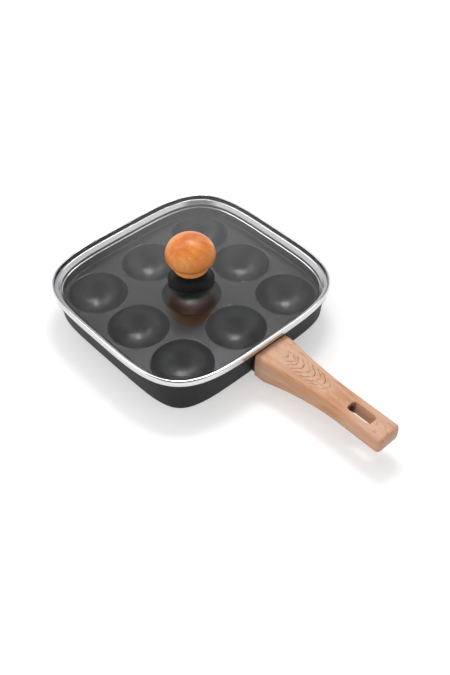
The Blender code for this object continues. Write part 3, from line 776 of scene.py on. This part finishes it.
def make_rim(finish, shaded):
    """The band, with painted shade as a dark finish inside its channel."""
    profile, lining = rim_profile()
    band = add_object("rim_band", framed(profile, closed=True), finish)
    band.data.materials.append(shaded)
    for polygon in band.data.polygons:
        if polygon.index // OUTLINE_POINTS in lining:
            polygon.material_index = 1
    return dress(band, "lid", "lid_rim")


def glass_pane():
    """A flat pane with bevelled edges and a hole for the knob's screw."""
    low, high = GLASS_LOW[2], GLASS_HIGH[2]
    bevel = GLASS_BEVEL
    rings = [circle(GLASS_HOLE_RADIUS, low, OUTLINE_POINTS)]
    rings += [outline(GLASS_INSET + bevel, low), outline(GLASS_INSET, low + bevel)]
    rings += [outline(GLASS_INSET, high - bevel), outline(GLASS_INSET + GLASS_BEVEL_WIDTH, high)]
    rings += [circle(GLASS_HOLE_RADIUS, high, OUTLINE_POINTS)]
    return loft(rings, closed=True)


def make_pane(finish):
    pane = add_object("glass_pane", glass_pane(), finish)
    return dress(pane, "lid", "lid_glass")


def knob_profile():
    """A turned ball, flatter below, on a small foot, with a bore for its insert."""
    middle = KNOB_FOOT_HEIGHT + KNOB_LOWER_HEIGHT
    start = -math.degrees(math.acos(KNOB_NECK_RADIUS / KNOB_RADIUS))
    edge = KNOB_FOOT_HEIGHT / 3
    profile = [(0.0, KNOB_BORE_DEPTH + KNOB_BORE_RADIUS / 2), (KNOB_BORE_RADIUS, KNOB_BORE_DEPTH)]
    profile += [(KNOB_BORE_RADIUS, 0.0)]
    profile += arc((KNOB_FOOT_RADIUS - edge, edge), edge, edge, -90, 0, EDGE_STEPS)
    profile += arc((KNOB_FOOT_RADIUS - edge, 2 * edge), edge, edge, 0, 60, KNOB_NECK_STEPS)
    profile += arc((0.0, middle), KNOB_RADIUS, KNOB_LOWER_HEIGHT, start, 0, KNOB_STEPS[0])
    profile += arc((0.0, middle), KNOB_RADIUS, KNOB_UPPER_HEIGHT, 0, 90, KNOB_STEPS[1])[1:-1]
    profile += [(0.0, middle + KNOB_UPPER_HEIGHT)]
    return profile


def make_knob(finish):
    place = Vector((0.0, 0.0, KNOB_LOW[2]))
    ball = add_object("knob_ball", turned(knob_profile(), ROUND_SEGMENTS, place=place), finish)
    return dress(ball, "lid", "knob")


def bell_profile():
    """A thin edge, a sweeping flare and a neck, with a recess for the seal."""
    height = BASE_HIGH[2] - BASE_LOW[2]
    flare = BASE_RADIUS - BASE_NECK_RADIUS
    sweep = height - BASE_EDGE_HEIGHT - BASE_NECK_LENGTH
    edge = BASE_EDGE_HEIGHT / 2
    profile = [(BASE_HOLE_RADIUS, SEAL_RECESS_DEPTH), (SEAL_RECESS_RADIUS, SEAL_RECESS_DEPTH)]
    profile += [(SEAL_RECESS_RADIUS, 0.0)]
    profile += arc((BASE_RADIUS - edge, edge), edge, edge, -90, 60, BASE_EDGE_STEPS)
    profile += arc((BASE_RADIUS, BASE_EDGE_HEIGHT + sweep), flare, sweep, 266, 180, BASE_FLARE_STEPS)
    profile += arc((BASE_NECK_RADIUS - edge, height - edge), edge, edge, 0, 90, EDGE_STEPS)
    profile += [(BASE_HOLE_RADIUS, height)]
    return profile


def make_bell(finish):
    place = Vector((0.0, 0.0, BASE_LOW[2]))
    shape = turned(bell_profile(), ROUND_SEGMENTS, hollow=True, place=place)
    return dress(add_object("knob_bell", shape, finish), "lid", "knob_base")


def new_material(name):
    """A material, its node tree and its shader."""
    made = bpy.data.materials.new(name)
    made.use_nodes = True
    return made, made.node_tree, made.node_tree.nodes["Principled BSDF"]


def feed(tree, node, inputs):
    """Gives each named input its value, or links it where that is a socket."""
    for name, value in inputs.items():
        if isinstance(value, bpy.types.NodeSocket):
            tree.links.new(value, node.inputs[name])
        else:
            node.inputs[name].default_value = value


def add_node(tree, kind, inputs=None, **settings):
    """A shader node with its settings and inputs."""
    node = tree.nodes.new(kind)
    for name, value in settings.items():
        setattr(node, name, value)
    feed(tree, node, inputs or {})
    return node


def vectors(tree, operation, *values):
    """The outputs of a vector operation: a vector and a value."""
    return add_node(tree, "ShaderNodeVectorMath", dict(enumerate(values)), operation=operation).outputs


def parts(tree, vector):
    """The x, y and z of a vector."""
    return add_node(tree, "ShaderNodeSeparateXYZ", {0: vector}).outputs


def place_in(tree, stretch=(1.0, 1.0, 1.0), centre=(0.0, 0.0, 0.0), turn=(0.0, 0.0, 0.0)):
    """Object coordinates about a centre, turned and stretched."""
    source = add_node(tree, "ShaderNodeTexCoord").outputs["Object"]
    moved = vectors(tree, "SUBTRACT", source, centre)["Vector"]
    inputs = {"Vector": moved, "Rotation": turn, "Scale": stretch}
    return add_node(tree, "ShaderNodeMapping", inputs).outputs[0]


def noise(tree, vector, scale=1.0, detail=2.0, roughness=0.5):
    inputs = {"Vector": vector, "Scale": scale, "Detail": detail, "Roughness": roughness}
    return add_node(tree, "ShaderNodeTexNoise", inputs).outputs["Fac"]


def ramp(tree, factor, stops):
    """A colour ramp through (position, colour) stops."""
    node = add_node(tree, "ShaderNodeValToRGB", {"Fac": factor})
    elements = node.color_ramp.elements
    while len(elements) < len(stops):
        elements.new(0.5)
    for element, (position, colour) in zip(elements, stops):
        element.position = position
        element.color = (*colour, 1.0)
    return node.outputs["Color"]


def tones(tree, factor, colours, positions=(0.3, 0.7)):
    """A colour that drifts through the given ones."""
    return ramp(tree, factor, list(zip(positions, colours)))


def levels(tree, factor, *stops):
    """A grey that drifts through (position, level) stops."""
    return ramp(tree, factor, [(position, (level, level, level)) for position, level in stops])


def spread(tree, factor, low, high, source_low=0.0, source_high=1.0):
    """A value spread from one range to another."""
    inputs = {"Value": factor, "From Min": source_low, "From Max": source_high}
    inputs.update({"To Min": low, "To Max": high})
    return add_node(tree, "ShaderNodeMapRange", inputs).outputs["Result"]


def blend(tree, factor, first, second, kind="MIX"):
    """A mix of two colours, each a socket or a plain colour."""
    inputs = {0: factor}
    for index, value in zip(MIX_COLOURS, (first, second)):
        inputs[index] = value if isinstance(value, bpy.types.NodeSocket) else (*value, 1.0)
    return add_node(tree, "ShaderNodeMix", inputs, data_type="RGBA", blend_type=kind).outputs[MIX_RESULT]


def calculate(tree, operation, first, second=0.0, third=0.0):
    inputs = {0: first, 1: second, 2: third}
    return add_node(tree, "ShaderNodeMath", inputs, operation=operation).outputs[0]


def times(tree, product, *factors):
    for factor in factors:
        product = calculate(tree, "MULTIPLY", product, factor)
    return product


def largest(tree, value, *others):
    for other in others:
        value = calculate(tree, "MAXIMUM", value, other)
    return value


def bump(tree, height, strength, distance):
    inputs = {"Height": height, "Strength": strength, "Distance": distance}
    return add_node(tree, "ShaderNodeBump", inputs).outputs[0]


def coating_material():
    """Sprayed non-stick coating: dark grey, satin, with fine specks and an orange-peel surface."""
    made, tree, shader = new_material("coated_aluminium")
    space = place_in(tree)
    clouds = noise(tree, space, scale=38.0, detail=3.0)
    specks = noise(tree, space, scale=2600.0, detail=1.0)
    peel = noise(tree, space, scale=900.0)
    sparkle = times(tree, levels(tree, specks, (0.66, 0.0), (0.74, 1.0)), SPECK_SHARE)
    feed(tree, shader, {
        "Base Color": blend(tree, sparkle, tones(tree, clouds, COATING), COATING_SPECK),
        "Roughness": spread(tree, clouds, 0.27, 0.31),
        "Normal": bump(tree, peel, strength=0.03, distance=0.00002),
        "Specular IOR Level": 0.44,
    })
    return made


def outside_paint_material():
    """Matt heat-resistant paint on the outer wall, a little cloudy."""
    made, tree, shader = new_material("outside_paint")
    space = place_in(tree)
    clouds = noise(tree, space, scale=60.0, detail=3.0)
    pits = noise(tree, space, scale=1500.0)
    feed(tree, shader, {
        "Base Color": tones(tree, clouds, OUTSIDE_PAINT),
        "Roughness": spread(tree, clouds, 0.46, 0.56),
        "Normal": bump(tree, pits, strength=0.12, distance=0.00002),
        "Specular IOR Level": 0.12,
    })
    return made


def polished_steel_material():
    """Rolled stainless strip, bright, with faint lines along it."""
    made, tree, shader = new_material("polished_steel")
    lines = noise(tree, place_in(tree, (12.0, 12.0, 2400.0)))
    clouds = noise(tree, place_in(tree), scale=60.0)
    feed(tree, shader, {
        "Base Color": tones(tree, lines, STEEL),
        "Roughness": spread(tree, clouds, 0.09, 0.14),
        "Normal": bump(tree, lines, strength=0.01, distance=0.00002),
        "Metallic": 1.0,
    })
    return made


def channel_painted_shade_material():
    """Painted shade for the inside of the band's channel: dark, matt and a little rough."""
    made, tree, shader = new_material("channel_painted_shade")
    scale = noise(tree, place_in(tree), scale=900.0, detail=3.0)
    feed(tree, shader, {
        "Base Color": tones(tree, scale, PAINTED_CHANNEL_SHADE),
        "Roughness": spread(tree, scale, 0.55, 0.70),
        "Normal": bump(tree, scale, strength=0.1, distance=0.00003),
        "Specular IOR Level": 0.2,
    })
    return made


def glass_material():
    """Clear toughened glass that passes shadow and diffuse rays unbent, to light what is below it."""
    made, tree, shader = new_material("clear_glass")
    ripple = noise(tree, place_in(tree), scale=22.0, detail=1.0)
    feed(tree, shader, {
        "Base Color": tones(tree, ripple, GLASS),
        "Normal": bump(tree, ripple, strength=0.05, distance=0.0002),
        "Roughness": 0.0,
        "IOR": 1.5,
        "Transmission Weight": 1.0,
    })
    clear = add_node(tree, "ShaderNodeBsdfTransparent", {"Color": (*GLASS_FOR_LIGHT, 1.0)})
    path = add_node(tree, "ShaderNodeLightPath").outputs
    passing = largest(tree, path["Is Shadow Ray"], path["Is Diffuse Ray"])
    mixed = add_node(tree, "ShaderNodeMixShader", {0: passing, 1: shader.outputs[0], 2: clear.outputs[0]})
    feed(tree, tree.nodes["Material Output"], {"Surface": mixed.outputs[0]})
    return made


def knob_wood_material():
    """Orange-brown varnished wood, its growth rings round a tilted axis; painted light lightens it
    towards its foot.
    """
    made, tree, shader = new_material("varnished_wood")
    centre = (*RING_AXIS, KNOB_HIGH[2] - KNOB_UPPER_HEIGHT)
    space = place_in(tree, centre=centre, turn=RING_TURN)
    warp = noise(tree, space, scale=55.0)
    wave = {"Vector": space, "Scale": 62.0, "Distortion": 3.2, "Detail": 2.0, "Detail Scale": 0.9}
    kind = {"wave_type": "RINGS", "rings_direction": "Y", "wave_profile": "SAW"}
    rings = add_node(tree, "ShaderNodeTexWave", wave, **kind).outputs["Fac"]
    fibres = noise(tree, place_in(tree, (900.0, 60.0, 900.0), centre, FIBRE_TURN), detail=3.0)
    broad = tones(tree, warp, KNOB_WOOD, (0.30, 0.50, 0.70))
    ringed = blend(tree, times(tree, rings, RING_SHARE), broad, KNOB_RING)
    grain = levels(tree, fibres, (0.35, 0.86), (0.65, 1.06))
    grained = blend(tree, 1.0, ringed, grain, "MULTIPLY")
    # Painted light: the colour lightens towards the foot, standing in for light on the knob's lower part
    height = parts(tree, place_in(tree))["Z"]
    painted_light = spread(tree, height, PAINTED_LIGHT_SHARE, 0.0, KNOB_LOW[2], KNOB_HIGH[2])
    feed(tree, shader, {
        "Base Color": blend(tree, painted_light, grained, KNOB_PAINTED_LIGHT),
        "Roughness": spread(tree, fibres, 0.30, 0.44),
        "Normal": bump(tree, fibres, strength=0.08, distance=0.00005),
        "Coat Weight": 0.35,
        "Coat Roughness": 0.32,
        "Specular IOR Level": 0.2,
    })
    return made


def chevrons(tree):
    """Dark lines of the print: nested arches along the handle's middle."""
    centre = (CHEVRON_CENTRE, 0.0, 0.0)
    along, aside = parts(tree, place_in(tree, centre=centre))[:2]
    squared = calculate(tree, "POWER", calculate(tree, "ABSOLUTE", aside), 2.0)
    arch = calculate(tree, "SQRT", calculate(tree, "ADD", squared, CHEVRON_TIP ** 2))
    run = calculate(tree, "ADD", along, times(tree, arch, CHEVRON_SLOPE))
    wobble = noise(tree, place_in(tree, (60.0, 160.0, 60.0)), detail=3.0)
    run = calculate(tree, "ADD", run, spread(tree, wobble, -CHEVRON_WOBBLE, CHEVRON_WOBBLE))
    share = calculate(tree, "FRACT", calculate(tree, "DIVIDE", run, CHEVRON_SPACING))
    lines = levels(tree, share, (0.0, 0.0), (0.66, 0.10), (0.80, 1.0), (0.90, 0.9), (1.0, 0.0))
    reach = place_in(tree, (1 / CHEVRON_REACH[0], 1 / CHEVRON_REACH[1], 0.0), centre)
    inside = spread(tree, vectors(tree, "LENGTH", reach)["Value"], 1.0, 0.0, *CHEVRON_FADE)
    patches = noise(tree, place_in(tree, (220.0, 260.0, 60.0)))
    breaks = levels(tree, patches, (0.38, 0.25), (0.55, 1.0))
    return times(tree, lines, inside, breaks)


def contours(tree):
    """Thin wandering lines along the handle, from the contours of a stretched noise."""
    field = noise(tree, place_in(tree, (15.0, 95.0, 95.0)), detail=1.0)
    share = calculate(tree, "FRACT", times(tree, field, CONTOUR_COUNT))
    return levels(tree, share, (0.0, 0.0), (0.80, 0.0), (0.90, 1.0), (1.0, 0.0))


def slot_end_painted_shade(tree, along, aside, on_top):
    """1 on the slot's end wall towards the pan, where shade is painted, and 0 elsewhere and on the
    handle's top.
    """
    start = HANDLE_HIGH[0] - SLOT_END_MARGIN - SLOT_LENGTH
    near = calculate(tree, "COMPARE", along, start, SLOT_SHADE_REACH)
    across = calculate(tree, "LESS_THAN", calculate(tree, "ABSOLUTE", aside), SLOT_WIDTH / 2 + GAP)
    return times(tree, near, across, calculate(tree, "SUBTRACT", 1.0, on_top))


def handle_print_material():
    """A pale wood print of arches and thin brown lines over soft streaks, with painted shade on the
    slot's end wall.
    """
    made, tree, shader = new_material("wood_print_phenolic")
    along, aside, height = parts(tree, place_in(tree))
    on_top = spread(tree, height, 0.0, 1.0, HANDLE_TOP - PRINT_DEPTH[0], HANDLE_TOP - PRINT_DEPTH[1])
    streaks = noise(tree, place_in(tree, (14.0, 260.0, 260.0)), detail=4.0, roughness=0.6)
    broad = noise(tree, place_in(tree, (16.0, 70.0, 70.0)))
    base = tones(tree, broad, PRINT_BASE, (0.32, 0.50, 0.72))
    streaked = blend(tree, 1.0, base, tones(tree, streaks, PRINT_STREAK), "MULTIPLY")
    starts = spread(tree, along, 0.0, 1.0, *WARM_REACH[0])
    stops = spread(tree, along, 1.0, 0.0, *WARM_REACH[1])
    warm = times(tree, starts, stops, levels(tree, streaks, (0.44, 0.0), (0.56, 0.75)))
    warmed = blend(tree, warm, streaked, PRINT_WARM)
    arches = times(tree, chevrons(tree), CHEVRON_SHARE)
    lines = largest(tree, arches, times(tree, contours(tree), CONTOUR_SHARE))
    marked = blend(tree, times(tree, lines, on_top), warmed, PRINT_LINE)
    # Painted shade on the slot's end wall, which faces away from the lamps
    shade = times(tree, slot_end_painted_shade(tree, along, aside, on_top), SLOT_SHADE_SHARE)
    feed(tree, shader, {
        "Base Color": blend(tree, shade, marked, SLOT_SHADE),
        "Roughness": spread(tree, streaks, 0.38, 0.52),
        "Normal": bump(tree, streaks, strength=0.06, distance=0.00005),
        "Specular IOR Level": 0.35,
    })
    return made


def black_phenolic_material():
    """Moulded black phenolic with a faint flow pattern."""
    made, tree, shader = new_material("black_phenolic")
    space = place_in(tree)
    flow = noise(tree, space, scale=120.0, detail=3.0)
    pits = noise(tree, space, scale=1400.0, detail=1.0)
    feed(tree, shader, {
        "Base Color": tones(tree, flow, BLACK_PHENOLIC),
        "Roughness": spread(tree, flow, 0.34, 0.46),
        "Normal": bump(tree, pits, strength=0.1, distance=0.00003),
        "Specular IOR Level": 0.12,
    })
    return made


def plated_material(name, colours):
    """A plated or bare metal with faint turning marks and cloudy shine."""
    made, tree, shader = new_material(name)
    clouds = noise(tree, place_in(tree), scale=420.0, detail=3.0)
    marks = noise(tree, place_in(tree, (60.0, 60.0, 3000.0)))
    feed(tree, shader, {
        "Base Color": tones(tree, clouds, colours),
        "Roughness": spread(tree, clouds, 0.22, 0.38),
        "Normal": bump(tree, marks, strength=0.12, distance=0.00003),
        "Metallic": 1.0,
    })
    return made


def silicone_material():
    """Matt grey silicone with a dusty surface."""
    made, tree, shader = new_material("grey_silicone")
    dust = noise(tree, place_in(tree), scale=700.0, detail=3.0)
    feed(tree, shader, {
        "Base Color": tones(tree, dust, SILICONE),
        "Roughness": spread(tree, dust, 0.5, 0.7),
        "Normal": bump(tree, dust, strength=0.1, distance=0.00004),
    })
    return made


def finish_fixings(zinc, brass, silicone):
    """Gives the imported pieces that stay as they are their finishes."""
    finishes = {
        "boss_insert": zinc,
        "handle_screw": zinc,
        "handle_washer": zinc,
        "knob_screw": zinc,
        "knob_washer": zinc,
        "knob_insert": brass,
        "knob_seal_upper": silicone,
        "knob_seal_lower": silicone,
    }
    for name, finish in finishes.items():
        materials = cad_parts[name].data.materials
        materials.clear()
        materials.append(finish)


def seen_directly(tree):
    """1 for the camera's rays and those that mirrors and glass pass on, 0 for light on matt surfaces."""
    path = add_node(tree, "ShaderNodeLightPath").outputs
    return largest(tree, path["Is Camera Ray"], path["Is Glossy Ray"], path["Is Transmission Ray"])


def floor_material():
    """A pale floor that glows only where it is seen, and less near the pan, so that shadows show."""
    made, tree, shader = new_material("white_floor")
    tone = noise(tree, place_in(tree), scale=3.0, detail=1.0)
    distance = vectors(tree, "LENGTH", place_in(tree))["Value"]
    glow = spread(tree, distance, FLOOR_GLOW, 1.0, *FLOOR_FADE)
    feed(tree, shader, {
        "Base Color": tones(tree, tone, FLOOR, (0.0, 1.0)),
        "Roughness": 0.9,
        "Specular IOR Level": 0.0,
        "Emission Color": (*WHITE, 1.0),
        "Emission Strength": times(tree, seen_directly(tree), glow),
    })
    return made


def make_floor(finish):
    half = FLOOR_SIZE / 2
    mesh = bpy.data.meshes.new("floor")
    corners = [(-half, -half, 0.0), (half, -half, 0.0), (half, half, 0.0), (-half, half, 0.0)]
    mesh.from_pydata(corners, [], [(0, 1, 2, 3)])
    mesh.materials.append(finish)
    new_object("floor", mesh)


def view_axes():
    """Right, away from the camera along the floor, and up."""
    right = Vector((math.cos(CAMERA_AZIMUTH), math.sin(CAMERA_AZIMUTH), 0.0))
    away = Vector((-math.sin(CAMERA_AZIMUTH), math.cos(CAMERA_AZIMUTH), 0.0))
    return right, away, Vector((0.0, 0.0, 1.0))


def within(tree, direction, axis, edge):
    """1 for directions close to an axis, falling to 0 between two angles given in degrees."""
    cosine = vectors(tree, "DOT_PRODUCT", direction, axis)["Value"]
    near, far = (math.cos(math.radians(angle)) for angle in edge)
    return spread(tree, cosine, 0.0, 1.0, far, near)


def low_down(tree, direction, edge):
    """1 for directions below an elevation, falling to 0 between two given in degrees."""
    return within(tree, direction, (0.0, 0.0, -1.0), [90 + elevation for elevation in edge])


def studio_for_mirrors(tree):
    """What mirrors see: a white horizon and backdrop, and a dim tent with pale sides and a gap.

    The gap lies above the backdrop. It is darker to rays that come straight off the pane than to
    rays that have gone through it.
    """
    right, away, up = view_axes()
    direction = add_node(tree, "ShaderNodeTexCoord").outputs["Generated"]
    level = vectors(tree, "MULTIPLY", direction, (1.0, 1.0, 0.0))["Vector"]
    flat = vectors(tree, "NORMALIZE", level)["Vector"]
    behind = within(tree, flat, away, BACKDROP_SIDE)
    backdrop = times(tree, low_down(tree, direction, BACKDROP_TOP), behind)
    white = largest(tree, low_down(tree, direction, HORIZON_TOP), backdrop)
    sides = largest(tree, within(tree, flat, right, SIDE_EDGE), within(tree, flat, -right, SIDE_EDGE))
    pale = times(tree, sides, low_down(tree, direction, SIDE_TOP), SIDE_LEVEL)
    tent = largest(tree, pale, TENT_LEVEL)
    gap = within(tree, direction, away * math.cos(GAP_CENTRE) + up * math.sin(GAP_CENTRE), GAP_EDGE)
    depth = add_node(tree, "ShaderNodeLightPath").outputs["Transmission Depth"]
    tent = blend(tree, gap, tent, spread(tree, depth, *GAP_LEVEL))
    return largest(tree, white, tent)


def make_world():
    """Plain ambient light, white where the camera sees it; mirrors see the studio's pattern."""
    world = bpy.data.worlds.new("studio")
    bpy.context.scene.world = world
    world.use_nodes = True
    tree = world.node_tree
    shown = spread(tree, seen_directly(tree), AMBIENT, 1.0)
    mirrored = add_node(tree, "ShaderNodeLightPath").outputs["Is Glossy Ray"]
    pattern = blend(tree, mirrored, WHITE, studio_for_mirrors(tree))
    feed(tree, tree.nodes["Background"], {
        "Color": (*WHITE, 1.0),
        "Strength": times(tree, shown, pattern),
    })


def add_softbox(name, across, away, up, width, depth, power):
    """A soft light, placed as seen from the camera and aimed at the pan."""
    axes = view_axes()
    place = axes[0] * across + axes[1] * away + axes[2] * up
    light = bpy.data.lights.new(name, "AREA")
    light.shape = "RECTANGLE"
    light.size = width
    light.size_y = depth
    light.energy = power
    lamp = new_object(name, light)
    lamp.location = place
    lamp.rotation_euler = (-place).to_track_quat("-Z", "Y").to_euler()
    return lamp


def make_lights():
    """Softboxes; the front one is left out of mirror images and of what shows through the pane."""
    lamps = {name: add_softbox(name, *values) for name, values in SOFTBOXES.items()}
    lamps["softbox_front"].visible_glossy = False
    lamps["softbox_front"].visible_transmission = False


def make_camera():
    """A camera fitted to the photograph's view."""
    away, up = view_axes()[1:]
    back = -away * math.cos(CAMERA_ELEVATION) + up * math.sin(CAMERA_ELEVATION)
    data = bpy.data.cameras.new("camera")
    data.lens = CAMERA_LENS
    data.sensor_width = CAMERA_SENSOR
    data.clip_start, data.clip_end = CAMERA_CLIP
    camera = new_object("camera", data)
    camera.location = CAMERA_PLACE
    camera.rotation_euler = (-back).to_track_quat("-Z", "Y").to_euler()
    bpy.context.scene.camera = camera


def build():
    make_pan(coating_material(), outside_paint_material())
    make_handle(handle_print_material())
    make_rim(polished_steel_material(), channel_painted_shade_material())
    make_pane(glass_material())
    make_knob(knob_wood_material())
    make_bell(black_phenolic_material())
    zinc = plated_material("zinc_plated_steel", ZINC)
    brass = plated_material("brass", BRASS)
    finish_fixings(zinc, brass, silicone_material())
    make_floor(floor_material())
    make_world()
    make_lights()
    make_camera()
    bpy.context.scene.view_settings.view_transform = "Standard"


build()
